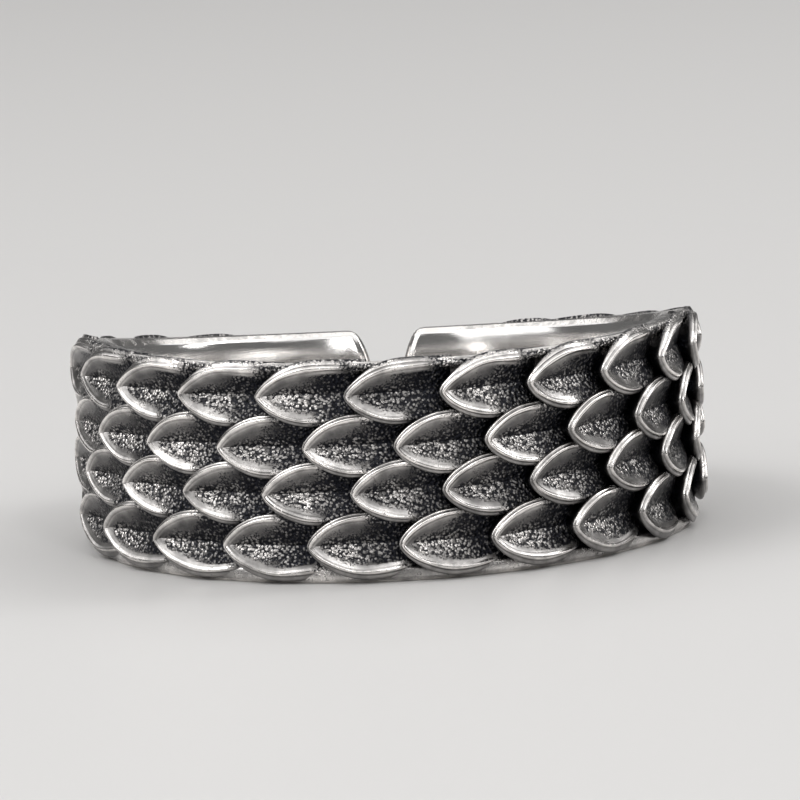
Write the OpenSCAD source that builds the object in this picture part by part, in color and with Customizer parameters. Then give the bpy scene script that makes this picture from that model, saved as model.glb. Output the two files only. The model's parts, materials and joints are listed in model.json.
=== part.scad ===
// Adjustable open ring: one cast piece, an open band that carries four staggered rows of pointed scales.
// It lies on its side: +Z runs along the finger hole, the front faces -Y and the opening is at +Y.
// The origin is on the finger hole's axis, on the plane of the lower rim. Every size is in millimetres.

/* [Finger hole] */
// Inside diameter of the finger hole
bore_d = 18.2; // [17.6:0.1:19]

/* [Band] */
// Height of the band at the front
front_h = 7.56; // [7.5:0.02:7.8]
// Height of the band at the opening
back_h = 3.5; // [3.4:0.1:3.7]
// Wall of the plain band that the scales stand on
wall = 0.95; // [0.9:0.05:1.05]
// Opening between the two free ends
gap = 1; // [0.9:0.1:1.5]
// Radius of the rounded free ends
end_r = 3; // [2.4:0.2:5]

/* [Scales] */
// Scales in one full turn of a row
scales_round = 22; // [21:1:23]
// Rise of a scale's point above the plain band
lift = 0.75; // [0.7:0.05:0.8]
// Height of the two outer rows above and below the middle, at the front
outer_row_z = 2.47; // [2.44:0.01:2.5]
// Height of the two inner rows above and below the middle, at the front
inner_row_z = 0.76; // [0.74:0.01:0.78]
// Half width of a scale where its row meets another
half_w = 1.05; // [1.02:0.01:1.08]
// Half width of an outer scale towards the rim
rim_half_w = 1.2; // [1.15:0.01:1.22]
// Distance from a scale's point to its widest place
widest = 1.95; // [1.85:0.05:2.05]
// The same distance on the rim side of an outer scale
rim_widest = 2.5; // [2.4:0.05:2.6]
// Fall of a scale's edge behind its point, degrees
edge_fall = 12.5; // [12:0.5:13]
// Fall of the crease down the middle of a scale, degrees
crease_fall = 19; // [18.5:0.5:19.5]
// Rise from the crease to the edge of a scale, at its widest place
hollow = 0.33; // [0.3:0.01:0.36]

/* [Hidden] */
$fn = 64;

bore_r = bore_d / 2;
band_r = bore_r + wall;
tip_r = band_r + lift;
half_h = front_h / 2;
pitch = 360 / scales_round;

// The rims are level at the front, and fall in two steps towards the opening
fall_from = -1.5;
fall_full = 0.5;
far = 13;
function fallen(y) = (max(0, y - fall_from) + max(0, y - fall_full)) / 2;
fall = (half_h - back_h / 2) / fallen(band_r);
function rim_z(y) = half_h - fall * fallen(y);

// The band's local half height at an angle from the front, as a share of the half height at the front
function share(a) = rim_z(-tip_r * cos(a)) / half_h;

// The rows from the top down: height, angle of the point nearest the front, rim above it, rim below it
ROWS = [
    [outer_row_z, 8.8, true, false],
    [inner_row_z, 0.6, false, false],
    [-inner_row_z, 8.8, false, false],
    [-outer_row_z, 0.6, false, true]
];

// No point lies outside these angles, so both free ends stay plain
first_angle = -166;
last_angle = 152;

// Radius of an arc that rises by w over the distance l
function arc_r(w, l) = (l * l + w * w) / (2 * w);

// Outline of a scale: where two circles overlap in a leaf, with its point at the origin and its base towards +X
module outline(up_w, up_l, down_w, down_l) {
    intersection() {
        translate([up_l, up_w - arc_r(up_w, up_l)])
            circle(r = arc_r(up_w, up_l));
        translate([down_l, arc_r(down_w, down_l) - down_w])
            circle(r = arc_r(down_w, down_l));
    }
}

// A scale on its outline, cut down to its falling edge and hollowed to a crease along the middle
module scale_form(up_w, up_l, down_w, down_l) {
    sunk = 0.45;
    lip = 0.15;
    rise = hollow / min(up_w, down_w);
    difference() {
        translate([0, 0, -lift - sunk])
            linear_extrude(height = lift + sunk + 0.25)
                outline(up_w, up_l, down_w, down_l);
        rotate([0, edge_fall, 0])
            translate([-2, -3, 0])
                cube([9, 6, 3]);
        translate([lip, 0, 0])
            rotate([90, 0, 90])
                rotate([crease_fall, 0, 0])
                    translate([0, 0, -1])
                        linear_extrude(height = 7)
                            polygon([[0, 0], [5, 5 * rise], [5, 6], [-5, 6], [-5, 5 * rise]]);
    }
}

// A scale set on the band at an angle, turned to follow its row
module scale_at(a, row) {
    k = share(a);
    k_wide = share(a + asin(widest / tip_r));
    up_w = (row[2] ? rim_half_w : half_w) * k_wide;
    up_l = row[2] ? rim_widest : widest;
    down_w = (row[3] ? rim_half_w : half_w) * k_wide;
    down_l = row[3] ? rim_widest : widest;
    rotate([0, 0, a])
        translate([0, -tip_r, row[0] * k])
            rotate([90, 0, 0])
                rotate([0, 0, atan(row[0] * (k_wide - k) / widest)])
                    scale_form(up_w, up_l, down_w, down_l);
}

// One row of scales, from one free end round the front to the other
module scale_row(row) {
    for (i = [-12:12]) {
        a = row[1] + i * pitch;
        if (a > first_angle && a < last_angle)
            scale_at(a, row);
    }
}

// Side view of the band, with the front to the left
module side_view() {
    polygon([
        [-far, -half_h], [fall_from, -half_h], [fall_full, -rim_z(fall_full)], [far, -rim_z(far)],
        [far, rim_z(far)], [fall_full, rim_z(fall_full)], [fall_from, half_h], [-far, half_h]
    ]);
}

// What is cut away between the free ends, seen along Y: it leaves each end rounded
module mouth() {
    difference() {
        square([gap + 2 * end_r, front_h], center = true);
        translate([gap / 2 + end_r, 0]) circle(r = end_r);
        translate([-gap / 2 - end_r, 0]) circle(r = end_r);
    }
}

// The plain open band, lower towards the opening
module band() {
    start = asin(gap / 4 / bore_r);
    difference() {
        intersection() {
            rotate([0, 0, 90 + start])
                rotate_extrude(angle = 360 - 2 * start)
                    translate([bore_r, -half_h - 0.5])
                        square([wall, front_h + 1]);
            rotate([90, 0, 90])
                translate([0, 0, -far])
                    linear_extrude(height = 2 * far)
                        side_view();
        }
        translate([0, far, 0])
            rotate([90, 0, 0])
                linear_extrude(height = far / 2)
                    mouth();
    }
}

// The whole casting
module ring() {
    color("silver")
        translate([0, 0, half_h])
            union() {
                band();
                scale_row(ROWS[0]);
                scale_row(ROWS[1]);
                scale_row(ROWS[2]);
                scale_row(ROWS[3]);
            }
}

ring();
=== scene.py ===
"""Adjustable open ring: one cast silver band under four rows of overlapping pointed scales.

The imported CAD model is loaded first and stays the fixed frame. The band and each row of scales are built
as pieces that stand for its one node, are dressed in darkened and polished silver, and are set in a plain
studio. A form is made in millimetres, round the finger hole's axis, and scaled to metres when it is
finished. Angles are in degrees where nothing else is said, and those round the ring count from its front.
"""

import json
import logging
import math
import random
from dataclasses import dataclass
from enum import Enum
from typing import Iterable, NamedTuple, Sequence, Union

import bmesh
import bpy
from mathutils import Matrix, Vector


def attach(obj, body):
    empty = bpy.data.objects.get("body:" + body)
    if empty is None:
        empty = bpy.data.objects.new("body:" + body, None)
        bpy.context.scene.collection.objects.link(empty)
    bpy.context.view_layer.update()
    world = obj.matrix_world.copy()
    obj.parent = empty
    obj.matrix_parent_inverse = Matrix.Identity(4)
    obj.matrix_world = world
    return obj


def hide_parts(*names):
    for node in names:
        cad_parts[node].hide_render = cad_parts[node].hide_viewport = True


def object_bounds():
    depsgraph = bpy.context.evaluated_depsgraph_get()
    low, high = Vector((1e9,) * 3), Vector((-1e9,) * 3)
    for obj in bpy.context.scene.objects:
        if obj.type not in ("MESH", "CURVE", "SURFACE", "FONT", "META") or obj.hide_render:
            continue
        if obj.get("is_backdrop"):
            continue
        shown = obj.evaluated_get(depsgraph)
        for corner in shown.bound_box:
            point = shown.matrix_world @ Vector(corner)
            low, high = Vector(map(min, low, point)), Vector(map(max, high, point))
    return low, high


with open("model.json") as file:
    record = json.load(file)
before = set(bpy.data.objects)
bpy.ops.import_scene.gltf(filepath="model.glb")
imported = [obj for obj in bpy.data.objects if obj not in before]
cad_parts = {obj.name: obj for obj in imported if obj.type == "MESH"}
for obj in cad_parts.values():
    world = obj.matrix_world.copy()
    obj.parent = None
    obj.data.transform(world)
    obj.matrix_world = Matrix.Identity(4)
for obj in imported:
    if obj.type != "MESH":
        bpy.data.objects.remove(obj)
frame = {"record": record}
CAD_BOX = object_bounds()

LOG = logging.getLogger("open_ring")
MM = 0.001
NODE = "ring"
BODY = "root"

# The two numbers that each point carries for its material
# The first number is wear, and also painted light and shade where the two sides of a scale differ and on the
# band's lower border
WEAR_AND_PAINTED_LIGHT = "worn"
GRAIN = "grain"

# The finger hole as the record states it, the plain band's wall round it, and the scales in a full turn
HOLE = next(mount for mount in frame["record"]["mounts"] if mount["name"] == "finger_hole")["dims"]
BORE_R = HOLE["r_mm"]
HALF_HEIGHT = HOLE["length_mm"] / 2
WALL = 0.95
BAND_R = BORE_R + WALL
SCALES_ROUND = 22

# Points nearer to each other than this are one
TOUCH = 1e-4

Colour = tuple[float, float, float, float]
Feed = Union[bpy.types.NodeSocket, float, Sequence[float]]


class Rim(Enum):
    """Which side of a row of scales lies along a rim of the band."""

    NONE = "none"
    UPPER = "upper"
    LOWER = "lower"


@dataclass(frozen=True)
class Span:
    """A stretch between two numbers, over which something comes in, or from which something is drawn."""

    start: float
    end: float

    def share(self, value: float) -> float:
        """Rates a number by a smooth step.

        Args:
            value: The number.

        Returns:
            A share, 0 up to the start and 1 from the end on.
        """
        part = min(1.0, max(0.0, (value - self.start) / (self.end - self.start)))
        return part * part * (3.0 - 2.0 * part)

    def draw(self, chance: random.Random) -> float:
        """Draws a number from the stretch."""
        return chance.uniform(self.start, self.end)


# Either free end is polished up to the first angle from the middle of the opening, and dark past the second
POLISHED_END = Span(11.0, 18.0)
END_WEAR = 0.97

# The values of a soft mask in a material
FULL = Span(0.0, 1.0)
GONE = Span(1.0, 0.0)


def blend(first: float, second: float, share: float) -> float:
    """The number that lies a share of the way from the first to the second."""
    return first + (second - first) * share


def polish_share(angle: float) -> float:
    """How far the ring is plain and polished at an angle from its front: fully so at its free ends."""
    return 1.0 - POLISHED_END.share(180.0 - abs(angle))


class Dressing:
    """The wear, with painted light and shade, and the grain that the points of a mesh carry for their
    material.
    """

    def __init__(self, form: bmesh.types.BMesh) -> None:
        """Adds both numbers to the points of a mesh.

        Args:
            form: The mesh, still empty.
        """
        self._light_and_wear_layer = form.verts.layers.float.new(WEAR_AND_PAINTED_LIGHT)
        self._grain = form.verts.layers.float.new(GRAIN)

    def put(self, vert: bmesh.types.BMVert, worn: float, grain: float) -> None:
        """Sets a point's wear, with painted light and shade, and how grainy it is."""
        vert[self._light_and_wear_layer] = worn
        vert[self._grain] = grain

    def read(self, vert: bmesh.types.BMVert) -> tuple[float, float]:
        """A point's wear, with painted light and shade, and how grainy it is."""
        return vert[self._light_and_wear_layer], vert[self._grain]


def raise_face(form: bmesh.types.BMesh, face: bmesh.types.BMFace, keep: bool = False) -> bmesh.types.BMFace:
    """Extrudes one face, in place, so that its walls can be drawn up.

    Args:
        form: The mesh.
        face: The face to raise.
        keep: Whether the old face stays, as the closed foot of a new form.

    Returns:
        The raised face.
    """
    raised = bmesh.ops.extrude_face_region(form, geom=[face])
    if not keep:
        bmesh.ops.delete(form, geom=[face], context="FACES_ONLY")
    return next(item for item in raised["geom"] if isinstance(item, bmesh.types.BMFace))


def face_outwards(form: bmesh.types.BMesh) -> None:
    """Turns every face of a mesh outwards.

    Args:
        form: The mesh, closed or open only at its top.
    """
    bmesh.ops.recalc_face_normals(form, faces=form.faces[:])
    if form.calc_volume(signed=True) < 0.0:
        bmesh.ops.reverse_faces(form, faces=form.faces[:])


def make_piece(
    form: bmesh.types.BMesh, name: str, materials: Sequence[bpy.types.Material],
) -> bpy.types.Object:
    """Turns a finished form into a piece that rides on the ring's body and stands for its node.

    Args:
        form: The form, in millimetres, which is used up.
        name: The piece's name.
        materials: Its materials, in the order of its material indices.

    Returns:
        The piece.
    """
    bmesh.ops.scale(form, verts=form.verts[:], vec=(MM, MM, MM))
    mesh = bpy.data.meshes.new(name)
    form.to_mesh(mesh)
    form.free()
    for material in materials:
        mesh.materials.append(material)
    piece = bpy.data.objects.new(name, mesh)
    bpy.context.scene.collection.objects.link(piece)
    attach(piece, BODY)
    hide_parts(NODE)
    return piece


@dataclass(frozen=True)
class SideFall:
    """The band seen from the side: level at the front, falling in an easy bend towards the opening."""

    half_height: float = HALF_HEIGHT
    back_half_height: float = 1.75
    fall_middle: float = -1.2
    bend: float = 1.8

    def _fallen(self, y: float) -> float:
        """Measures the fall that lies in front of a place.

        Args:
            y: The place.

        Returns:
            Its length, along a parabola in the bend and straight behind it.
        """
        past = y - self.fall_middle
        if past >= self.bend:
            return past
        return max(0.0, past + self.bend) ** 2 / (4 * self.bend)

    def share(self, y: float) -> float:
        """Height of the band at y, as a share of its height at the front."""
        lost = 1.0 - self.back_half_height / self.half_height
        return 1.0 - lost * self._fallen(y) / self._fallen(BAND_R)


@dataclass(frozen=True)
class Flank:
    """One side of a scale's outline: an arc that widens from the point and narrows behind its widest place.

    Its wall may roll in under the lip, lean in at its foot, or spread out as a slope towards the rim.
    """

    half_width: float
    reach: float
    lip_end: float
    narrowing: float = 0.12
    rolled: float = 0.0
    wall_wear: float = 0.0
    leaning: float = 0.0
    spread: float = 0.0

    def _radius(self) -> float:
        """Radius of the arc."""
        return (self.reach**2 + self.half_width**2) / (2 * self.half_width)

    def point(self, inset: float) -> float:
        """Where the arc, moved inwards by inset, meets the middle line."""
        radius = self._radius()
        return self.reach - math.sqrt((radius - inset) ** 2 - (radius - self.half_width) ** 2)

    def width(self, along: float, inset: float) -> float:
        """Half width of the outline.

        Args:
            along: Distance from the outline's point.
            inset: How far the arc is moved inwards.

        Returns:
            Distance from the middle line.
        """
        past = along - self.reach
        if past > 0.0:
            return self.half_width - inset - self.narrowing * past**2
        radius = self._radius()
        square = (radius - inset) ** 2 - past**2
        return math.sqrt(max(0.0, square)) - (radius - self.half_width)


@dataclass(frozen=True)
class Contour:
    """A line round a scale: its place inside the outline and below the lip, and its wear on either side,
    whose difference between the sides is painted light and shade.

    Where cut is 1 it is the bottom of the fine groove along the lip, and where foot is 1 it is the sunk foot.
    """

    inset: float
    drop: float
    wear_and_painted_light_above: float
    wear_and_painted_light_below: float
    cut: float = 0.0
    foot: float = 0.0

    def worn(self, side: float) -> float:
        """The line's wear, with painted light and shade: side is +1 above the middle line, -1 below it and 0
        on it.
        """
        return blend(self.wear_and_painted_light_below, self.wear_and_painted_light_above, (side + 1.0) / 2.0)


@dataclass(frozen=True)
class HollowLine:
    """A line inside a scale's hollow: its share of the way from crease to lip, its wear with painted light
    and shade, and its grain.
    """

    level: float
    wear_and_painted_light_above: float
    wear_and_painted_light_below: float
    grain_above: float
    grain_below: float

    def worn(self, side: float) -> float:
        """The line's wear, with painted light and shade, for the same sides as a contour."""
        return blend(self.wear_and_painted_light_below, self.wear_and_painted_light_above, (side + 1.0) / 2.0)

    def grain(self, side: float) -> float:
        """How grainy the line is, for the same sides as a contour."""
        return blend(self.grain_below, self.grain_above, (side + 1.0) / 2.0)


# From the sunk foot up the wall, over the groove and the lip, to the edge of the hollow; where the upper and
# lower wear differ it is painted light on faces that turn up and painted shade on faces that turn down
WALL_AND_LIP: tuple[Contour, ...] = (
    Contour(0.050, 1.100, 0.00, 0.00, foot=1.0),
    Contour(0.050, 0.420, 0.00, 0.00, foot=0.5),
    Contour(0.012, 0.300, 0.04, 0.06),
    Contour(-0.015, 0.215, 0.30, 0.14),
    Contour(-0.010, 0.160, 0.80, 0.22),
    Contour(0.012, 0.122, 0.95, 0.32),
    Contour(0.036, 0.108, 0.70, 0.32),
    Contour(0.052, 0.092, 0.55, 0.32, cut=1.0),
    Contour(0.068, 0.068, 0.65, 0.45),
    Contour(0.088, 0.026, 0.95, 0.76),
    Contour(0.116, 0.004, 1.00, 0.84),
    Contour(0.148, 0.000, 1.00, 0.84),
    Contour(0.180, 0.012, 0.90, 0.74),
    Contour(0.212, 0.038, 0.62, 0.68),
    Contour(0.242, 0.074, 0.30, 0.53),
    Contour(0.276, 0.084, 0.46, 0.50),
    Contour(0.312, 0.108, 0.32, 0.46),
)
HOLLOW_EDGE = WALL_AND_LIP[-1]

# From the edge of the hollow down to the crease, with painted shade on the upper half, which faces down, and
# painted light on the lower half, which faces up
HOLLOW: tuple[HollowLine, ...] = (
    HollowLine(0.90, 0.25, 0.42, 0.02, 0.15),
    HollowLine(0.75, 0.17, 0.40, 0.08, 0.45),
    HollowLine(0.58, 0.18, 0.40, 0.24, 0.85),
    HollowLine(0.42, 0.19, 0.43, 0.45, 1.00),
    HollowLine(0.26, 0.19, 0.45, 0.66, 1.00),
    HollowLine(0.12, 0.18, 0.47, 0.82, 1.00),
    HollowLine(0.04, 0.16, 0.48, 0.88, 1.00),
    HollowLine(0.00, 0.12, 0.12, 1.00, 1.00),
)


class Spot(NamedTuple):
    """A point of a scale: its place, its wear with painted light and shade, and how grainy it is."""

    place: Vector
    worn: float
    grain: float


@dataclass(frozen=True)
class ScaleForm:
    """One scale, laid flat: its point at the origin, its base towards +X, and its height along Z."""

    upper: Flank
    lower: Flank

    # Size, and the steps along each flank, which are shorter near the point
    length: float = 3.8
    lift: float = 0.75
    sunk: float = -0.4
    steps: int = 24
    step_power: float = 1.5

    # The lip falls along a curve from the point, and dips under the next scale
    lip_fall: float = 0.06
    lip_bend: float = 0.025
    dips_from: float = 3.0
    dip_bend: float = 0.35

    # The crease falls from the lip's point to the hollow's floor, and is sharp from just behind its start
    crease_step: float = 0.012
    sharp_from: float = 0.01
    floor: float = 0.06
    floor_run: float = 0.8
    hollow_power: float = 1.04

    # The point is rounded, and its lip is narrower than along the flanks
    point_share: float = 0.65
    point_round: float = 0.12
    least_round: float = 0.04

    # The groove along the lip, and the height of the lip's relief
    groove: float = 0.6
    groove_inset: float = 0.052
    groove_depth: float = 0.04
    groove_dark: float = 0.9
    relief: float = 1.0
    outer_inset: float = -0.015

    # Past its end the lip fades into the grainy base
    lip_fade: Span = Span(-0.5, 0.3)
    faded_drop: float = 0.02
    faded_slope: float = 0.25
    faded_dark: float = 0.85
    base_grain: float = 0.9
    # Towards the next scale's point the base darkens, partly patina and partly painted shade under that
    # scale, deeper on the upper side
    base: Span = Span(1.1, 3.0)
    base_patina_and_shade_above: float = 0.95
    base_patina_and_shade_below: float = 0.84
    grain_run: Span = Span(0.25, 0.7)

    # The walls: where along the flank they are worn, rolled, leaning or spread, and how far down they spread
    wear_run: Span = Span(1.3, 2.1)
    rolled_run: Span = Span(0.0, 1.1)
    leaning_run: Span = Span(0.0, 0.8)
    spread_run: Span = Span(0.2, 1.4)
    spread_drop: Span = Span(0.1, 0.26)
    spread_worn: float = 0.27
    spread_grain: float = 0.8

    # The lip wavers a little, in a wave whose rate is in radians a millimetre
    waver: float = 0.028
    waver_rate: float = 2.7
    waver_inset: Span = Span(0.1, 0.26)
    waver_run: Span = Span(0.2, 0.8)
    phase: float = 0.0

    # A base that lies under no other scale stays above the band and closes in a round end
    bare_base: bool = False
    bare_floor: float = 0.02
    closes_from: float = 2.0
    closed: float = 0.94

    def _rim(self, along: float) -> float:
        """Height of the lip at a distance from the point."""
        return self.lift - self.lip_fall * along - self.lip_bend * along**2 - self._dip(along)

    def _dip(self, along: float) -> float:
        """How far the base dips under the next scale."""
        return self.dip_bend * max(0.0, along - self.dips_from) ** 2

    def _start(self, inset: float) -> float:
        """Where a contour crosses the middle line."""
        return self.point_share * (self.upper.point(inset) + self.lower.point(inset)) / 2

    def _apex(self) -> float:
        """Where the hollow begins, behind the lip's point."""
        return self._start(HOLLOW_EDGE.inset)

    def _run(self, step: int) -> float:
        """Share of the length at a step."""
        return (step / self.steps) ** self.step_power

    def _side_of(self, step: int) -> tuple[Flank, float]:
        """The flank that a signed step lies on, and the sign of its side."""
        return (self.upper, 1.0) if step >= 0 else (self.lower, -1.0)

    def _crease(self, along: float) -> float:
        """Measures the crease down the middle of the hollow.

        Args:
            along: Distance from the point.

        Returns:
            Its height.
        """
        apex = self._apex()
        top = self._rim(apex) - HOLLOW_EDGE.drop - self.crease_step
        left = math.exp(-(along - apex) / self.floor_run)
        height = self.floor + (top - self.floor) * left - self._dip(along)
        return max(height, self.bare_floor) if self.bare_base else height

    def _base_share(self, along: float) -> float:
        """Rates how much of its width the scale keeps.

        Args:
            along: Distance from the point.

        Returns:
            A share, which falls below 1 only in a bare base.
        """
        if not self.bare_base:
            return 1.0
        past = max(0.0, along - self.closes_from) / (self.length - self.closes_from)
        return math.sqrt(max(0.0, 1.0 - self.closed * past**2))

    def _spread_share(self, flank: Flank, run: float, contour: Contour) -> float:
        """Rates how far a contour lies out on the slope that a flank's wall makes towards the rim.

        Args:
            flank: The flank that it lies on.
            run: Distance along the flank.
            contour: The contour line.

        Returns:
            A share between 0 at the lip and 1 at the wall's lower edge.
        """
        if not flank.spread or contour.inset > self.groove_inset:
            return 0.0
        return self.spread_drop.share(contour.drop) * self.spread_run.share(run)

    def _rolled(self, flank: Flank, sign: float, run: float, contour: Contour) -> float:
        """Measures how much further in than its inset a contour lies.

        Args:
            flank: The flank that it lies on, which may roll, lean or spread.
            sign: The sign of its side.
            run: Distance along the flank.
            contour: The contour line, which wavers where it is on the lip.

        Returns:
            A distance towards the middle line.
        """
        wall = self.groove_inset - self.outer_inset
        behind_groove = min(1.0, max(0.0, contour.inset - self.outer_inset) / wall)
        wave = math.sin(self.waver_rate * run + self.phase + sign)
        waver = self.waver * wave * self.waver_inset.share(contour.inset)
        leaning = flank.leaning * contour.foot * self.leaning_run.share(run)
        leaning -= flank.spread * self._spread_share(flank, run, contour)
        rolled = flank.rolled * self.rolled_run.share(run) * behind_groove
        return rolled + waver * self.waver_run.share(run) + leaning

    def _drop(self, contour: Contour, fade: float) -> float:
        """Measures how far a contour lies below the lip.

        Args:
            contour: The contour line.
            fade: How far the lip has faded into the base.

        Returns:
            A distance down from the lip.
        """
        drop = contour.drop + self.groove_depth * contour.cut * self.groove
        if contour.inset <= self.groove_inset:
            return drop
        return blend(drop * self.relief, self.faded_drop + contour.inset * self.faded_slope, fade)

    def _on_lip(self, step: int, contour: Contour) -> Spot:
        """A point of the wall or the lip.

        Args:
            step: Signed step from the point, positive on the upper side.
            contour: The contour line that it lies on.

        Returns:
            The point.
        """
        flank, sign = self._side_of(step)
        start = self._start(contour.inset)
        run = (self.length - start) * self._run(abs(step))
        round_off = self.point_round * max(self.least_round, 1.0 - contour.inset / HOLLOW_EDGE.inset)
        along = start + math.hypot(run, round_off) - round_off
        width = flank.width(flank.point(contour.inset) + run, contour.inset)
        across = (width - self._rolled(flank, sign, run, contour)) * sign if step else 0.0
        across *= self._base_share(along)
        fade = self.lip_fade.share(along - flank.lip_end)
        height = max(self.sunk, self._rim(along) - self._drop(contour, fade))
        # The two sides' wear numbers paint light on faces that turn up and shade on faces that turn down
        worn = contour.worn(sign if step else 0.0) * (1.0 - self.faded_dark * fade)
        worn *= 1.0 - self.groove_dark * contour.cut * self.groove
        if contour.inset <= self.groove_inset:
            worn = max(worn, flank.wall_wear * self.wear_run.share(along))
        spread = self._spread_share(flank, run, contour)
        worn = blend(worn, self.spread_worn, spread)
        grain = max(self.base_grain * fade, self.spread_grain * spread)
        return Spot(Vector((along, across, height)), worn, grain)

    def _in_hollow(self, step: int, line: HollowLine) -> Spot:
        """A point of the hollow.

        Args:
            step: Signed step from the point, positive on the upper side.
            line: The line of the hollow that it lies on.

        Returns:
            The point.
        """
        edge = self._on_lip(step, HOLLOW_EDGE).place
        _, sign = self._side_of(step)
        side = sign if step and line.level else 0.0
        apex = self._apex()
        along = blend(apex + (self.length - apex) * self._run(abs(step)), edge.x, line.level)
        crease = self._crease(along)
        height = crease + (edge.z - crease) * line.level**self.hollow_power
        base = self.base.share(along)
        # The base's darkening is patina and painted shade under the next scale
        dark = self.base_patina_and_shade_above if sign > 0 else self.base_patina_and_shade_below
        # Painted shade on the hollow's upper half and painted light on its lower half
        worn = line.worn(side) * (1.0 - dark * base)
        grain = blend(line.grain(side) * self.grain_run.share(along), self.base_grain, base)
        return Spot(Vector((along, edge.y * line.level, height)), worn, grain)

    def _lines(self) -> Iterable[list[Spot]]:
        """Goes through the lines of the scale, from its sunk foot to the crease.

        Yields:
            The points of each line, once round.
        """
        order = list(range(0, self.steps + 1)) + list(range(-self.steps, 0))
        for contour in WALL_AND_LIP:
            yield [self._on_lip(step, contour) for step in order]
        for line in HOLLOW:
            yield [self._in_hollow(step, line) for step in order]

    def _raise_lines(self, form: bmesh.types.BMesh) -> None:
        """Raises the scale from its foot, line by line, and closes it along the crease.

        Args:
            form: The empty mesh that it is made in.
        """
        dressing = Dressing(form)
        bmesh.ops.create_circle(form, cap_ends=True, segments=2 * self.steps + 1, radius=1.0)
        form.faces.ensure_lookup_table()
        top = form.faces[0]
        outline = list(top.verts)
        for number, line in enumerate(self._lines()):
            if number:
                top = raise_face(form, top, keep=number == 1)
                above = set(top.verts)
                outline = [
                    next(edge.other_vert(vert) for edge in vert.link_edges if edge.other_vert(vert) in above)
                    for vert in outline
                ]
            for vert, spot in zip(outline, line):
                vert.co = spot.place
                dressing.put(vert, spot.worn, spot.grain)
        bmesh.ops.delete(form, geom=[top], context="FACES_ONLY")
        bmesh.ops.remove_doubles(form, verts=form.verts[:], dist=TOUCH)

    def _shade(self, form: bmesh.types.BMesh) -> None:
        """Smooths the scale's faces, with a sharp crease behind the hollow's apex.

        Args:
            form: The scale's mesh.
        """
        sharp_from = self._apex() + self.sharp_from
        for edge in form.edges:
            on_middle = all(abs(vert.co.y) < TOUCH for vert in edge.verts)
            edge.smooth = not (on_middle and max(vert.co.x for vert in edge.verts) > sharp_from)
        for face in form.faces:
            face.smooth = True

    def sculpt(self) -> bpy.types.Mesh:
        """Makes the scale.

        Returns:
            Its mesh, which carries its wear with painted light and shade, and its grain.
        """
        form = bmesh.new()
        self._raise_lines(form)
        face_outwards(form)
        self._shade(form)
        mesh = bpy.data.meshes.new("scale_form")
        form.to_mesh(mesh)
        form.free()
        return mesh


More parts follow.
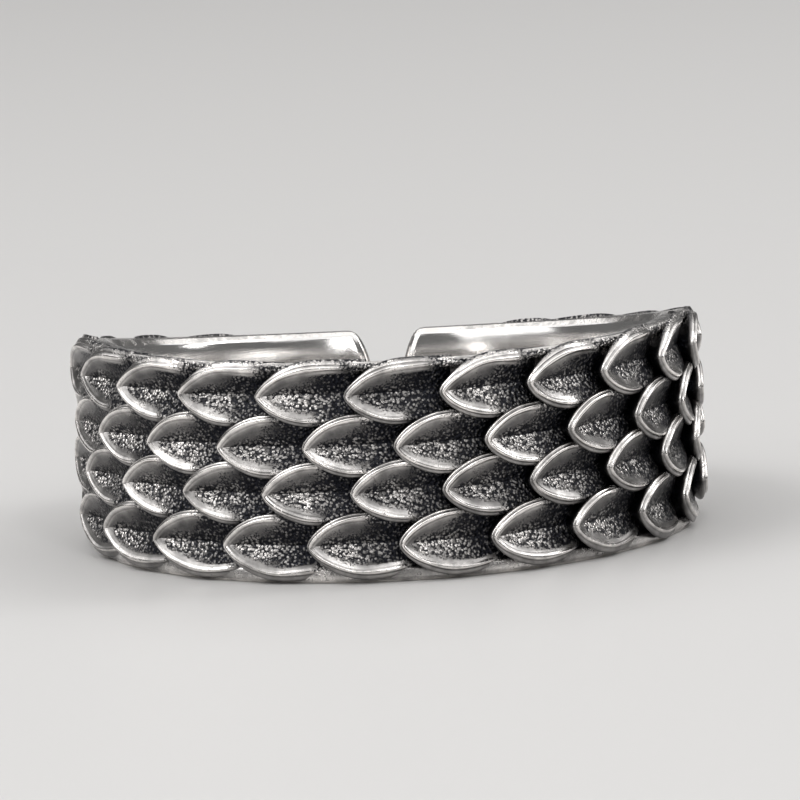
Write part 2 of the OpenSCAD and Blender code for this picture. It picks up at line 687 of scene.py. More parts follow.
@dataclass(frozen=True)
class ScaleRow:
    """A row of scales, wrapped round the band from one free end to the other.

    Its height is that of its middle line above the band's. Where the band is low, so is the scales' relief.
    """

    number: int
    height: float
    first_angle: float
    rim: Rim
    fall: SideFall

    # Between which angles the scales' points lie, and how the scales are wrapped
    from_angle: float = -166.0
    to_angle: float = 152.0
    wrap_r: float = 10.4
    low_relief: float = 0.55

    # A flank where the row meets another
    half_width: float = 1.05
    reach: float = 1.95
    lip_end: float = 2.1
    rolled: float = 0.06

    # The flank along the upper rim
    upper_half_width: float = 1.0
    upper_reach: float = 2.1
    upper_narrowing: float = 0.04
    upper_lip_end: float = 3.0
    upper_wear: float = 0.4
    upper_leaning: float = 0.36
    upper_spread: float = 0.145

    # The flank along the lower rim
    lower_half_width: float = 1.17
    lower_reach: float = 2.15
    lower_narrowing: float = 0.1
    lower_lip_end: float = 3.3
    lower_rolled: float = 0.11

    # What differs from one scale to the next
    seed: int = 100
    last_seed: int = 200
    variants: int = 7
    reliefs: Span = Span(0.75, 1.25)
    grooves: Span = Span(0.15, 1.0)
    phases: Span = Span(0.0, math.tau)
    tilts: Span = Span(-1.0, 1.0)
    shifts: Span = Span(-0.25, 0.25)
    lifts: Span = Span(0.95, 1.0)
    tones: Span = Span(0.82, 1.05)

    def _flank(self, side: Rim) -> Flank:
        """Chooses the flank on one side of the scales.

        Args:
            side: The side, upper or lower.

        Returns:
            The flank.
        """
        if side is not self.rim:
            rolled = self.rolled if side is Rim.LOWER else 0.0
            return Flank(self.half_width, self.reach, self.lip_end, rolled=rolled)
        if side is Rim.UPPER:
            return Flank(
                self.upper_half_width, self.upper_reach, self.upper_lip_end, self.upper_narrowing,
                wall_wear=self.upper_wear, leaning=self.upper_leaning, spread=self.upper_spread,
            )
        return Flank(
            self.lower_half_width, self.lower_reach, self.lower_lip_end, self.lower_narrowing,
            rolled=self.lower_rolled,
        )

    def _wrap(self, place: Vector, angle: float, lift: float) -> Vector:
        """Wraps a point of a flat scale round the band.

        Args:
            place: The point on the flat scale.
            angle: Angle of the scale's point from the front.
            lift: Share of the full relief that this scale has.

        Returns:
            The point on the ring.
        """
        turn = math.radians(angle) + place.x / self.wrap_r
        share = self.fall.share(-BAND_R * math.cos(turn))
        relief = place.z * blend(self.low_relief, 1.0, share) * lift if place.z > 0 else place.z
        radius = BAND_R + relief
        height = self.fall.half_height + (self.height + place.y) * share
        return Vector((radius * math.sin(turn), -radius * math.cos(turn), height))

    def _template(self, chance: random.Random, bare_base: bool = False) -> bpy.types.Mesh:
        """Makes one flat scale of this row, whose lip differs a little from the next one's.

        Args:
            chance: Where its small differences are drawn from.
            bare_base: Whether its base lies under no other scale.

        Returns:
            The scale's mesh.
        """
        relief = self.reliefs.draw(chance)
        groove = self.grooves.draw(chance)
        phase = self.phases.draw(chance)
        upper, lower = self._flank(Rim.UPPER), self._flank(Rim.LOWER)
        form = ScaleForm(upper, lower, relief=relief, groove=groove, phase=phase, bare_base=bare_base)
        return form.sculpt()

    def _angles(self) -> list[tuple[int, float]]:
        """Finds where the row's scales have their points.

        Returns:
            The number and the angle of each scale between the free ends.
        """
        half_round = SCALES_ROUND // 2 + 1
        steps = range(-half_round, half_round + 1)
        places = [(step, self.first_angle + step * 360.0 / SCALES_ROUND) for step in steps]
        return [(step, angle) for step, angle in places if self.from_angle < angle < self.to_angle]

    def _settle(
        self, verts: Iterable[bmesh.types.BMVert], dressing: Dressing, angle: float, chance: random.Random,
    ) -> None:
        """Wraps one flat scale round the band, with its own tilt, shift, lift and tone.

        Args:
            verts: The scale's points.
            dressing: The wear with painted light and shade, and the grain of the row.
            angle: Angle of the scale's point from the front.
            chance: Where its small differences are drawn from.
        """
        tilt = Matrix.Rotation(math.radians(self.tilts.draw(chance)), 4, "Z")
        angle += self.shifts.draw(chance)
        lift = self.lifts.draw(chance)
        tone = self.tones.draw(chance)
        for vert in verts:
            vert.co = self._wrap(tilt @ vert.co, angle, lift)
            polish = polish_share(math.degrees(math.atan2(vert.co.x, -vert.co.y)))
            worn, grain = dressing.read(vert)
            dressing.put(vert, max(worn * tone, END_WEAR * polish), grain * (1.0 - polish))

    def build(self, silver: bpy.types.Material) -> bpy.types.Object:
        """Sets a copy of a flat scale at each place of the row.

        Args:
            silver: The material of the scales.

        Returns:
            The row as one piece.
        """
        chance = random.Random(self.seed + self.number)
        templates = [self._template(chance) for _ in range(self.variants)]
        last = self._template(random.Random(self.last_seed + self.number), bare_base=True)
        row = bmesh.new()
        dressing = Dressing(row)
        angles = self._angles()
        for step, angle in angles:
            first = len(row.verts)
            row.from_mesh(last if (step, angle) == angles[-1] else templates[step % self.variants])
            row.verts.ensure_lookup_table()
            self._settle(row.verts[first:], dressing, angle, chance)
        for template in [*templates, last]:
            bpy.data.meshes.remove(template)
        return make_piece(row, f"scales_row_{self.number}", [silver])


@dataclass(frozen=True)
class ScalePattern:
    """The four rows of scales from the top down, each half a step on from the row above it."""

    fall: SideFall
    outer_row: float = 2.47
    inner_row: float = 0.76
    odd_first: float = 8.8
    even_first: float = 0.6

    def build(self, silver: bpy.types.Material) -> list[bpy.types.Object]:
        """Builds the rows.

        Args:
            silver: The material of the scales.

        Returns:
            The rows, one piece each.
        """
        rows = (
            ScaleRow(1, self.outer_row, self.odd_first, Rim.UPPER, self.fall),
            ScaleRow(2, self.inner_row, self.even_first, Rim.NONE, self.fall),
            ScaleRow(3, -self.inner_row, self.odd_first, Rim.NONE, self.fall),
            ScaleRow(4, -self.outer_row, self.even_first, Rim.LOWER, self.fall),
        )
        return [row.build(silver) for row in rows]


@dataclass(frozen=True)
class FingerBand:
    """The plain open band under the scales, with raised borders and rounded free ends."""

    fall: SideFall
    lower_first_angle: float

    # Section: the radius of its borders, and its corners' heights from the bore outwards and back to it
    border_r: float = 10.3
    shoulder: float = 0.26
    crest: float = 0.12
    upper_undercut: float = 0.02
    lower_undercut: float = 0.04
    upper_heights: tuple[float, ...] = (3.12, 3.38, 3.51, 3.39, 3.23, 3.10)
    lower_heights: tuple[float, ...] = (-3.20, -3.32, -3.62, -3.78, -3.70, -3.40)

    # Its corners are softly rounded near the bore and crisp on the borders
    soft_wall: float = 0.4
    soft_round: float = 0.16
    soft_segments: int = 4
    crisp_round: float = 0.055
    crisp_segments: int = 3
    tall_edge: float = 2.0
    tall_cuts: int = 15

    # The bore rolls over towards the rims, in a skin on the inside of the wall
    dome: float = 0.26
    dome_power: float = 2.2
    dome_skin: float = 0.45

    # The opening, its rounded free ends, and the angle over which the band is moved to make room for them
    gap: float = 1.0
    end_r: float = 3.0
    end_round: float = 0.4
    end_steps: int = 4
    moved_angle: float = 26.0
    steps: int = 200

    # Parts of the wall that are polished, bare or hidden under the scales
    polished_skin: float = 0.2
    bare_skin: float = 0.12
    hidden_skin: float = 0.1
    hidden: Span = Span(-3.14, 2.95)
    hidden_grain: float = 0.5

    # Wear of the rims and the borders, and painted shade on the lower border under each scale with painted
    # light between two scales, swelling and fading round the ring
    border_face: Span = Span(-0.13, -0.01)
    lower_border: Span = Span(2.9, 3.25)
    rim_wear: float = 0.9
    upper_wear: float = 0.35
    painted_shade_under_scales: float = 0.2
    painted_light_between_scales: float = 0.8
    border_grain: float = 0.75
    lower_smooth: float = 0.8
    exposed_lead: float = 2.0
    exposed_from: Span = Span(0.0, 2.5)
    exposed_to: Span = Span(9.0, 13.0)
    painted_light_angle: float = -16.0
    painted_light_span: float = 38.0
    painted_light_mean: float = 0.7
    painted_light_swing: float = 0.3

    def _corners(self) -> list[tuple[float, float]]:
        """Works out the corners of the band's section.

        Returns:
            Their radii and heights, from the bore up over the upper border, down the outside and back.
        """
        shoulder = BORE_R + self.shoulder
        crest = self.border_r - self.crest
        upper_foot = self.border_r - self.upper_undercut
        lower_foot = self.border_r - self.lower_undercut
        upper = zip((BORE_R, shoulder, crest, self.border_r, upper_foot, BAND_R), self.upper_heights)
        lower = zip((BAND_R, lower_foot, self.border_r, crest, shoulder, BORE_R), self.lower_heights)
        return [*upper, *lower]

    def _section(self, band: bmesh.types.BMesh) -> bmesh.types.BMFace:
        """Draws the section with its corners rounded.

        Args:
            band: The empty mesh that it is drawn in.

        Returns:
            The section's face, in the plane through the axis and +Y.
        """
        corners = [band.verts.new((0.0, radius, height)) for radius, height in self._corners()]
        band.faces.new(corners)
        soft = [vert for vert in corners if vert.co.y < BORE_R + self.soft_wall]
        crisp = [vert for vert in corners if vert.co.y >= BORE_R + self.soft_wall]
        rounds = ((soft, self.soft_round, self.soft_segments), (crisp, self.crisp_round, self.crisp_segments))
        for verts, offset, segments in rounds:
            bmesh.ops.bevel(
                band, geom=verts, offset=offset, offset_type="OFFSET", segments=segments, profile=0.5,
                affect="VERTICES", clamp_overlap=True, material=-1,
            )
        for edge in [edge for edge in band.edges if edge.calc_length() > self.tall_edge]:
            bmesh.ops.subdivide_edges(band, edges=[edge], cuts=self.tall_cuts)
        band.faces.ensure_lookup_table()
        return band.faces[0]

    def _start(self) -> float:
        """Half angle of the opening that the section is spun from, in radians."""
        return math.asin(self.gap / 2 / BAND_R)

    def _spin(self, band: bmesh.types.BMesh) -> list[bmesh.types.BMFace]:
        """Spins the section round the finger hole, from one side of the opening to the other.

        Args:
            band: The empty mesh that it is made in.

        Returns:
            The flat faces at its two ends.
        """
        section = self._section(band)
        start = self._start()
        to_start = Matrix.Rotation(-start, 3, "Z")
        bmesh.ops.rotate(band, verts=band.verts[:], cent=(0, 0, 0), matrix=to_start)
        bmesh.ops.spin(
            band, geom=[section, *section.edges, *section.verts], cent=(0, 0, 0), axis=(0, 0, 1),
            dvec=(0, 0, 0), angle=-(math.tau - 2 * start), steps=self.steps, use_merge=False,
            use_duplicate=False,
        )
        # A spun face has four corners, and the section has more
        return [face for face in band.faces if len(face.verts) > 4]

    def _end_angle(self, radius: float, height: float) -> float:
        """Works out the opening between the rounded ends.

        Args:
            radius: Distance from the axis.
            height: Height above the middle, where the band is lowest.

        Returns:
            The opening's half angle there, in radians.
        """
        inside = max(0.0, self.end_r**2 - height**2)
        edge = self.gap / 2 + self.end_round + self.end_r - math.sqrt(inside)
        return math.asin(edge / radius)

    def _make_room(self, from_gap: float, radius: float, height: float) -> float:
        """Moves an angle near the opening, so that the band ends where its rounded ends begin.

        Args:
            from_gap: The angle from the middle of the opening, in radians.
            radius: Distance from the axis.
            height: Height above the middle, as if the band were level.

        Returns:
            The angle that it moves to, in radians.
        """
        limit = math.radians(self.moved_angle)
        if from_gap >= limit:
            return from_gap
        start = self._start()
        back = height * self.fall.back_half_height / self.fall.half_height
        end = self._end_angle(radius, back)
        return end + (from_gap - start) * (limit - end) / (limit - start)

    def _shape(self, vert: bmesh.types.BMVert, dressing: Dressing) -> None:
        """Moves a point of the spun band to its place and gives it its wear, with painted light and shade.

        Args:
            vert: The point.
            dressing: The wear with painted light and shade, and the grain of the band.
        """
        radius = math.hypot(vert.co.x, vert.co.y)
        height = vert.co.z
        from_gap = math.atan2(abs(vert.co.x), vert.co.y)
        side = math.copysign(1.0, vert.co.x)
        angle = side * (180.0 - math.degrees(from_gap))
        inner = 1.0 - Span(BORE_R, BORE_R + self.dome_skin).share(radius)
        radius += self.dome * inner * (abs(height) / self.fall.half_height) ** self.dome_power
        dressing.put(vert, *self._wear_light_and_shade(radius, height, angle))
        turn = self._make_room(from_gap, radius, height)
        vert.co.x = side * radius * math.sin(turn)
        vert.co.y = radius * math.cos(turn)
        vert.co.z = self.fall.half_height + height * self.fall.share(vert.co.y)

    def _round_end(self, band: bmesh.types.BMesh, cap: bmesh.types.BMFace, outwards: float) -> None:
        """Rounds a free end by raising its cap in shrinking steps.

        Args:
            band: The band's mesh.
            cap: The flat face at the end.
            outwards: +1 where the end faces +X, -1 where it faces -X.
        """
        half_wall = (BAND_R - BORE_R) / 2
        quarter = math.tau / 4
        for step in range(1, self.end_steps + 1):
            before = quarter * (step - 1) / self.end_steps
            after = quarter * step / self.end_steps
            shrink = self.end_round * (math.cos(before) - math.cos(after))
            left = half_wall - self.end_round * (1 - math.cos(before))
            cap = raise_face(band, cap)
            centre = cap.calc_center_median()
            for vert in cap.verts:
                offset = vert.co - centre
                tall = max(self.end_round, abs(offset.z))
                vert.co.y = centre.y + offset.y * (1.0 - shrink / left)
                vert.co.z = centre.z + offset.z * (1.0 - shrink / (tall + left))
                vert.co.x += outwards * self.end_round * (math.sin(after) - math.sin(before))

    def _painted_light_share(self, angle: float) -> float:
        """Rates the painted light on the lower border between two scales, against the painted shade under
        them.

        Args:
            angle: The angle from the front.

        Returns:
            A share between 0 and 1.
        """
        phase = (angle - self.lower_first_angle + self.exposed_lead) % (360.0 / SCALES_ROUND)
        wave = math.cos(math.tau * (angle - self.painted_light_angle) / self.painted_light_span)
        patchy = self.painted_light_mean + self.painted_light_swing * wave
        return patchy * self.exposed_from.share(phase) * (1.0 - self.exposed_to.share(phase))

    def _wear_light_and_shade(self, radius: float, height: float, angle: float) -> tuple[float, float]:
        """Works out a point of the band's wear, with painted light and shade on the lower border, and how
        grainy it is.

        Args:
            radius: Its distance from the axis.
            height: Its height above the middle, as if the band were level.
            angle: Its angle from the front.

        Returns:
            Its wear with painted light and shade, and its grain.
        """
        if radius < BORE_R + self.bare_skin:
            return 1.0, 0.0
        polish = polish_share(angle)
        if self.hidden.start < height < self.hidden.end and radius < BAND_R + self.hidden_skin:
            return END_WEAR * polish, self.hidden_grain * (1.0 - polish)
        outer = self.border_face.share(radius - self.border_r)
        low = self.lower_border.share(-height)
        # Painted shade on the lower border under the scales and painted light between them
        lower_light_and_shade = blend(self.painted_shade_under_scales, self.painted_light_between_scales, self._painted_light_share(angle))
        worn = blend(self.rim_wear, blend(self.upper_wear, lower_light_and_shade, low), outer)
        grain = self.border_grain * outer * (1.0 - self.lower_smooth * low) * (1.0 - polish)
        return max(worn, END_WEAR * polish), grain

    def build(self, silver: bpy.types.Material, polished: bpy.types.Material) -> bpy.types.Object:
        """Spins the section round the hole, lowers it towards the opening and rounds its ends.

        Args:
            silver: The material of the outside.
            polished: The material of the finger hole's wall.

        Returns:
            The band as one piece.
        """
        band = bmesh.new()
        dressing = Dressing(band)
        caps = self._spin(band)
        for vert in band.verts:
            self._shape(vert, dressing)
        for cap in caps:
            self._round_end(band, cap, -math.copysign(1.0, cap.calc_center_median().x))
        face_outwards(band)
        for face in band.faces:
            face.smooth = True
            middle = face.calc_center_median()
            inside = math.hypot(middle.x, middle.y) < BORE_R + self.polished_skin
            face.material_index = 1 if inside else 0
        return make_piece(band, "band", [silver, polished])


class Graph:
    """A small helper that lays out the nodes of one material."""

    def __init__(self, name: str) -> None:
        """Starts a material with one shader.

        Args:
            name: The material's name.
        """
        self.material = bpy.data.materials.new(name)
        self.material.use_nodes = True
        self.tree = self.material.node_tree
        self.tree.nodes.clear()
        self.shader = self.tree.nodes.new("ShaderNodeBsdfPrincipled")
        output = self.tree.nodes.new("ShaderNodeOutputMaterial")
        self.tree.links.new(self.shader.outputs["BSDF"], output.inputs["Surface"])

    def feed(self, socket: bpy.types.NodeSocket, value: Feed) -> None:
        """Links an output to a socket, or sets the socket's own value.

        Args:
            socket: The socket.
            value: The output, number, vector or colour.
        """
        if isinstance(value, bpy.types.NodeSocket):
            self.tree.links.new(value, socket)
        else:
            socket.default_value = value

    def node(
        self, kind: str, inputs: dict[Union[str, int], Feed] | None = None, **settings: object,
    ) -> bpy.types.Node:
        """Adds a node.

        Args:
            kind: Its type.
            inputs: A value or an output for each of its inputs.
            **settings: Its own properties.

        Returns:
            The node.
        """
        node = self.tree.nodes.new(kind)
        for key, value in settings.items():
            setattr(node, key, value)
        for key, value in (inputs or {}).items():
            self.feed(node.inputs[key], value)
        return node

    def dress(self, colour: Feed, roughness: Feed, metallic: float) -> None:
        """Gives the shader its looks.

        Args:
            colour: Its colour.
            roughness: Its roughness.
            metallic: Its share of metal.
        """
        self.feed(self.shader.inputs["Base Color"], colour)
        self.feed(self.shader.inputs["Metallic"], metallic)
        self.feed(self.shader.inputs["Roughness"], roughness)

    def emboss(self, height: Feed, strength: float, depth: float) -> None:
        """Gives the shader a bump.

        Args:
            height: Height of the surface, as a share of the depth.
            strength: How strongly it shows.
            depth: Its depth.
        """
        inputs = {"Height": height, "Strength": strength, "Distance": depth * MM}
        self.feed(self.shader.inputs["Normal"], self.node("ShaderNodeBump", inputs).outputs["Normal"])

    def scaled(self, place: Feed, scale: Sequence[float]) -> bpy.types.NodeSocket:
        """Scales coordinates."""
        return self.node("ShaderNodeMapping", {"Vector": place, "Scale": scale}).outputs["Vector"]

    def millimetres(self) -> bpy.types.NodeSocket:
        """Object coordinates in millimetres."""
        return self.scaled(self.node("ShaderNodeTexCoord").outputs["Object"], (1.0 / MM,) * 3)

    def attribute(self, name: str) -> bpy.types.NodeSocket:
        """A number that the piece carries on its points."""
        return self.node("ShaderNodeAttribute", attribute_name=name).outputs["Fac"]

    def _math(self, operation: str, first: Feed, second: Feed, clamp: bool = False) -> bpy.types.NodeSocket:
        """Joins two numbers by an operation."""
        node = self.node("ShaderNodeMath", {0: first, 1: second}, operation=operation, use_clamp=clamp)
        return node.outputs["Value"]

    def add(self, first: Feed, second: Feed, clamp: bool = False) -> bpy.types.NodeSocket:
        """Adds two numbers, held to 0 and 1 if clamp is set."""
        return self._math("ADD", first, second, clamp)

    def subtract(self, first: Feed, second: Feed) -> bpy.types.NodeSocket:
        """Takes the second number from the first."""
        return self._math("SUBTRACT", first, second)

    def times(self, first: Feed, second: Feed, clamp: bool = False) -> bpy.types.NodeSocket:
        """Multiplies two numbers, held to 0 and 1 if clamp is set."""
        return self._math("MULTIPLY", first, second, clamp)

    def larger(self, first: Feed, second: Feed) -> bpy.types.NodeSocket:
        """The larger of two numbers."""
        return self._math("MAXIMUM", first, second)

    def span(self, value: Feed, source: Span, target: Span) -> bpy.types.NodeSocket:
        """Maps a number from one span to another by a smooth step.

        Args:
            value: The number.
            source: The span that it lies in.
            target: The span that it is mapped to, and held to.

        Returns:
            The mapped number.
        """
        inputs = {
            "Value": value, "From Min": source.start, "From Max": source.end,
            "To Min": target.start, "To Max": target.end,
        }
        return self.node("ShaderNodeMapRange", inputs, interpolation_type="SMOOTHSTEP").outputs["Result"]

    def mix(self, share: Feed, first: Feed, second: Feed) -> bpy.types.NodeSocket:
        """Mixes two numbers by a share."""
        return self.node("ShaderNodeMix", {0: share, 2: first, 3: second}).outputs[0]

    def mix_colours(self, share: Feed, first: Feed, second: Feed) -> bpy.types.NodeSocket:
        """Mixes two colours by a share."""
        return self.node("ShaderNodeMix", {0: share, 6: first, 7: second}, data_type="RGBA").outputs[2]

    def noise(self, place: Feed, scale: float, detail: float, roughness: float = 0.5) -> bpy.types.NodeSocket:
        """A cloudy pattern.

        Args:
            place: Coordinates in millimetres.
            scale: Its patches a millimetre.
            detail: How many finer patterns lie in it.
            roughness: How strong each finer pattern is.

        Returns:
            A number between 0 and 1.
        """
        inputs = {"Vector": place, "Scale": scale, "Detail": detail, "Roughness": roughness}
        return self.node("ShaderNodeTexNoise", inputs).outputs["Fac"]


@dataclass(frozen=True)
class WornSilverWithPaintedLight:
    """Cast silver, darkened all over and lighter where its points' wear number says so, which also carries
    painted light and shade, with a fine punched grain.

    The cloud is a broad pattern that makes the wear patchy, and the fine pattern makes the grains ragged.
    """

    tarnish: Colour = (0.003, 0.0035, 0.005, 1.0)
    haze: Colour = (0.022, 0.023, 0.030, 1.0)
    bright: Colour = (0.93, 0.895, 0.865, 1.0)

    # Patches or grains a millimetre
    cloud_scale: float = 1.6
    fine_scale: float = 17.0
    grain_scale: float = 9.5
    scuff_scale: float = 30.0

    # Finer patterns within each pattern, and how strong they are
    cloud_detail: float = 4.0
    fine_detail: float = 3.0
    scuff_detail: float = 2.0
    finer_share: float = 0.6

    # The values that the patterns mostly take, and what they are mapped to
    mostly: Span = Span(0.3, 0.7)
    patches: Span = Span(0.6, 1.35)
    kept_bare: Span = Span(0.75, 1.0)
    cloud_grain: Span = Span(-0.2, 0.2)
    fine_grain: Span = Span(-0.28, 0.28)
    grain_edge: Span = Span(0.25, 0.6)
    haze_edge: Span = Span(0.35, 0.7)
    roughness: Span = Span(0.34, 0.15)
    stain: Span = Span(-0.02, 0.06)

    # A grain: its ragged rubbed top, and how bare its top and the pits round it are
    raggedness: float = 1.3
    fine_mean: float = 0.5
    top_growth: float = 0.5
    top_edge: Span = Span(0.28, 0.42)
    top_odds: Span = Span(0.05, 0.5)
    top_bare: Span = Span(0.2, 1.0)
    pit_bare: float = 0.06
    rubbed_top: float = 1.6
    least_top: float = 0.10

    # Relief of the grain
    grain_depth: float = 0.045
    hill: float = 0.6
    fine_relief: float = 0.5
    scuff_relief: float = 0.05

    def _grainy(
        self, graph: Graph, cells: bpy.types.Node, fine: bpy.types.NodeSocket, rubbed_and_painted_light: bpy.types.NodeSocket,
    ) -> bpy.types.NodeSocket:
        """Works out how light the grainy silver is: ragged grains with tops that wear has polished, and dark
        pits round them.

        Args:
            graph: The material's nodes.
            cells: The cell pattern of the grain.
            fine: The fine noise that makes the grains ragged.
            rubbed_and_painted_light: How far the silver is polished by wear on average, together with painted
                light and shade.

        Returns:
            A share between 0 and 1.
        """
        chance = graph.node("ShaderNodeSeparateColor", {"Color": cells.outputs["Color"]}).outputs["Red"]
        ragged = graph.times(graph.subtract(fine, self.fine_mean), self.raggedness)
        grown = graph.subtract(ragged, graph.times(rubbed_and_painted_light, self.top_growth))
        reach = graph.add(cells.outputs["Distance"], grown)
        inside = graph.span(reach, self.top_edge, GONE)
        tops = graph.times(inside, graph.span(chance, self.top_odds, self.top_bare))
        low = graph.times(rubbed_and_painted_light, self.pit_bare)
        high = graph.add(graph.times(rubbed_and_painted_light, self.rubbed_top), self.least_top, clamp=True)
        return graph.mix(tops, low, high)

    def make(self) -> bpy.types.Material:
        """Builds the material.

        Returns:
            The material.
        """
        graph = Graph("worn_silver")
        place = graph.millimetres()
        cloud = graph.noise(place, self.cloud_scale, self.cloud_detail, self.finer_share)
        fine = graph.noise(place, self.fine_scale, self.fine_detail, self.finer_share)
        cells = graph.node("ShaderNodeTexVoronoi", {"Vector": place, "Scale": self.grain_scale})
        # The wear number also holds painted light and shade, which the shares drawn from it carry into the
        # colour
        worn = graph.attribute(WEAR_AND_PAINTED_LIGHT)
        rubbed_and_painted_light = graph.times(worn, graph.span(cloud, self.mostly, self.patches), clamp=True)
        kept = graph.larger(rubbed_and_painted_light, graph.span(worn, self.kept_bare, FULL))
        cloudy = graph.span(cloud, self.mostly, self.cloud_grain)
        uneven = graph.add(cloudy, graph.span(fine, self.mostly, self.fine_grain))
        grain = graph.span(graph.add(graph.attribute(GRAIN), uneven), self.grain_edge, FULL)
        bare_and_painted_light = graph.mix(grain, kept, self._grainy(graph, cells, fine, kept))
        dull = graph.mix_colours(graph.span(fine, self.haze_edge, FULL), self.tarnish, self.haze)
        stain = graph.span(cloud, self.mostly, self.stain)
        roughness = graph.add(graph.span(bare_and_painted_light, FULL, self.roughness), stain)
        graph.dress(graph.mix_colours(bare_and_painted_light, dull, self.bright), roughness, metallic=1.0)
        hills = graph.subtract(self.hill, cells.outputs["Distance"])
        lumps = graph.times(graph.add(hills, graph.times(fine, self.fine_relief)), grain)
        scuffs = graph.times(graph.noise(place, self.scuff_scale, self.scuff_detail), self.scuff_relief)
        graph.emboss(graph.add(lumps, scuffs), 1.0, self.grain_depth)
        return graph.material


@dataclass(frozen=True)
class PolishedSilver:
    """The finger hole's wall: polished, with faint scratches round it and a little haze."""

    bright: Colour = (0.92, 0.90, 0.88, 1.0)
    haze: Colour = (0.72, 0.70, 0.685, 1.0)
    cloud_scale: float = 0.35
    cloud_detail: float = 4.0
    cloud_finer: float = 0.6
    scratch_scale: float = 3.0
    scratch_detail: float = 5.0
    scratch_finer: float = 0.7
    scratch_run: tuple[float, float, float] = (0.4, 0.4, 9.0)
    scratch_strength: float = 0.35
    scratch_depth: float = 0.004
    haze_edge: Span = Span(0.4, 0.75)
    cloud_mostly: Span = Span(0.3, 0.7)
    cloud_roughness: Span = Span(0.10, 0.17)
    scratch_mostly: Span = Span(0.4, 0.7)
    scratch_roughness: Span = Span(-0.02, 0.04)

    def make(self) -> bpy.types.Material:
        """Builds the material.

        Returns:
            The material.
        """
        graph = Graph("polished_silver")
        place = graph.millimetres()
        cloud = graph.noise(place, self.cloud_scale, self.cloud_detail, self.cloud_finer)
        drawn_out = graph.scaled(place, self.scratch_run)
        scratches = graph.noise(drawn_out, self.scratch_scale, self.scratch_detail, self.scratch_finer)
        colour = graph.mix_colours(graph.span(cloud, self.haze_edge, FULL), self.bright, self.haze)
        cloudy = graph.span(cloud, self.cloud_mostly, self.cloud_roughness)
        scratched = graph.span(scratches, self.scratch_mostly, self.scratch_roughness)
        graph.dress(colour, graph.add(cloudy, scratched), metallic=1.0)
        graph.emboss(scratches, self.scratch_strength, self.scratch_depth)
        return graph.material


@dataclass(frozen=True)
class PaleFloor:
    """The plain, slightly glossy floor of the studio."""

    colour: Colour = (0.62, 0.61, 0.60, 1.0)
    roughness: float = 0.42

    def make(self) -> bpy.types.Material:
        """Builds the material.

        Returns:
            The material.
        """
        graph = Graph("pale_floor")
        graph.dress(self.colour, self.roughness, metallic=0.0)
        return graph.material


@dataclass(frozen=True)
class Softbox:
    """A soft lamp that faces the ring, with its radiance as its brightness."""

    name: str
    azimuth: float
    elevation: float
    distance: float
    width: float
    height: float
    brightness: float

    def hang(self, target: Vector) -> None:
        """Hangs the lamp so that it faces the ring.

        Args:
            target: The middle of the ring, in metres.
        """
        turn = math.radians(self.azimuth)
        rise = math.radians(self.elevation)
        away = Vector((math.sin(turn) * math.cos(rise), -math.cos(turn) * math.cos(rise), math.sin(rise)))
        lamp = bpy.data.lights.new(self.name, "AREA")
        lamp.shape = "RECTANGLE"
        lamp.size = self.width * MM
        lamp.size_y = self.height * MM
        lamp.energy = self.brightness * math.pi * lamp.size * lamp.size_y
        holder = bpy.data.objects.new(self.name, lamp)
        holder.location = target + away * self.distance * MM
        holder.rotation_euler = away.to_track_quat("Z", "Y").to_euler()
        bpy.context.scene.collection.objects.link(holder)


# Azimuth, elevation, distance, width, height and brightness of each lamp
LAMPS: tuple[Softbox, ...] = (
    Softbox("overhead", 0.0, 90.0, 300.0, 1100.0, 900.0, 1.0),
    Softbox("window", -58.0, 22.0, 420.0, 360.0, 160.0, 1.3),
    Softbox("high_left", -72.0, 52.0, 380.0, 230.0, 150.0, 3.6),
    Softbox("front_strip", 20.0, 30.0, 380.0, 44.0, 260.0, 6.0),
    Softbox("side_strip", 97.0, 34.0, 380.0, 76.0, 310.0, 5.0),
)


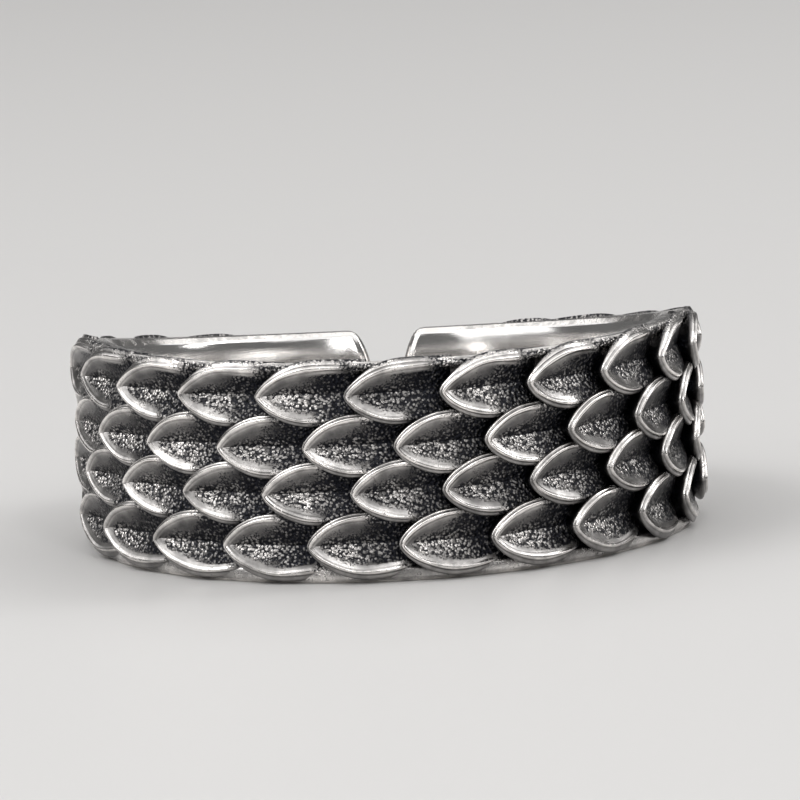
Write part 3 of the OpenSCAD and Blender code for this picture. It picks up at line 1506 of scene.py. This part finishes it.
@dataclass(frozen=True)
class Studio:
    """A plain pale floor, soft lamps, and a camera at the photograph's angle.

    The camera's place follows from its distance, elevation and roll, from the pixel of the photograph where
    the ring's middle shows, and from the pixels that a millimetre takes up there.
    """

    middle: float = HALF_HEIGHT
    distance: float = 216.0
    elevation: float = 8.9
    roll: float = 2.8
    frame_px: float = 800.0
    px_per_mm: float = 29.35
    middle_px: tuple[float, float] = (389.7, 418.0)
    sensor: float = 36.0
    near_clip: float = 5.0
    far_clip: float = 20000.0
    floor_size: float = 3000.0
    sky: float = 0.14

    def lay_floor(self) -> None:
        """Lays the floor at the ring's lower rim."""
        form = bmesh.new()
        bmesh.ops.create_grid(form, x_segments=1, y_segments=1, size=self.floor_size / 2 * MM)
        mesh = bpy.data.meshes.new("floor")
        form.to_mesh(mesh)
        form.free()
        mesh.materials.append(PaleFloor().make())
        plane = bpy.data.objects.new("floor", mesh)
        bpy.context.scene.collection.objects.link(plane)
        plane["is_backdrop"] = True

    def light(self) -> None:
        """Hangs the lamps and sets an even sky."""
        target = Vector((0.0, 0.0, self.middle * MM))
        for lamp in LAMPS:
            lamp.hang(target)
        world = bpy.data.worlds.new("studio")
        world.use_nodes = True
        background = world.node_tree.nodes["Background"]
        background.inputs["Color"].default_value = (self.sky, self.sky, self.sky, 1.0)
        bpy.context.scene.world = world

    def place_camera(self) -> None:
        """Sets the camera where the photograph was taken from, with the ring at the photograph's place."""
        rise = math.radians(self.elevation)
        roll = math.radians(self.roll)
        back = Vector((0.0, -math.cos(rise), math.sin(rise)))
        level_up = Vector((0.0, math.sin(rise), math.cos(rise)))
        level_right = Vector((1.0, 0.0, 0.0))
        right = level_right * math.cos(roll) - level_up * math.sin(roll)
        up = level_up * math.cos(roll) + level_right * math.sin(roll)
        to_right = (self.frame_px / 2 - self.middle_px[0]) / self.px_per_mm
        to_top = (self.middle_px[1] - self.frame_px / 2) / self.px_per_mm
        lens = bpy.data.cameras.new("camera")
        lens.sensor_width = self.sensor
        lens.lens = self.sensor * self.distance * self.px_per_mm / self.frame_px
        lens.clip_start = self.near_clip * MM
        lens.clip_end = self.far_clip * MM
        camera = bpy.data.objects.new("camera", lens)
        spot = Vector((0.0, 0.0, self.middle)) + back * self.distance + right * to_right + up * to_top
        turned = Matrix((right, up, back)).transposed().to_4x4()
        camera.matrix_world = Matrix.Translation(spot * MM) @ turned
        bpy.context.scene.collection.objects.link(camera)
        bpy.context.scene.camera = camera

    def set_tone(self) -> None:
        """Chooses how the picture's light becomes colour."""
        view = bpy.context.scene.view_settings
        view.view_transform = "Standard"
        view.look = "None"
        view.exposure = 0.0

    def build(self) -> None:
        """Builds the whole studio."""
        self.lay_floor()
        self.light()
        self.place_camera()
        self.set_tone()


def write_sizes() -> None:
    """Puts the CAD model's box and the finished model's box side by side, as plain numbers."""
    boxes = {"cad": CAD_BOX, "visual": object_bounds()}
    plain = {name: [[float(number) for number in corner] for corner in box] for name, box in boxes.items()}


def main() -> None:
    """Builds the ring piece by piece, then the studio."""
    logging.basicConfig(level=logging.INFO, format="%(name)s: %(message)s")
    silver = WornSilverWithPaintedLight().make()
    polished = PolishedSilver().make()
    fall = SideFall()
    pattern = ScalePattern(fall)
    pieces = [FingerBand(fall, pattern.even_first).build(silver, polished)]
    pieces += pattern.build(silver)
    for piece in pieces:
        LOG.info("%s: %d faces", piece.name, len(piece.data.polygons))
    Studio().build()
    write_sizes()


if __name__ == "__main__":
    main()
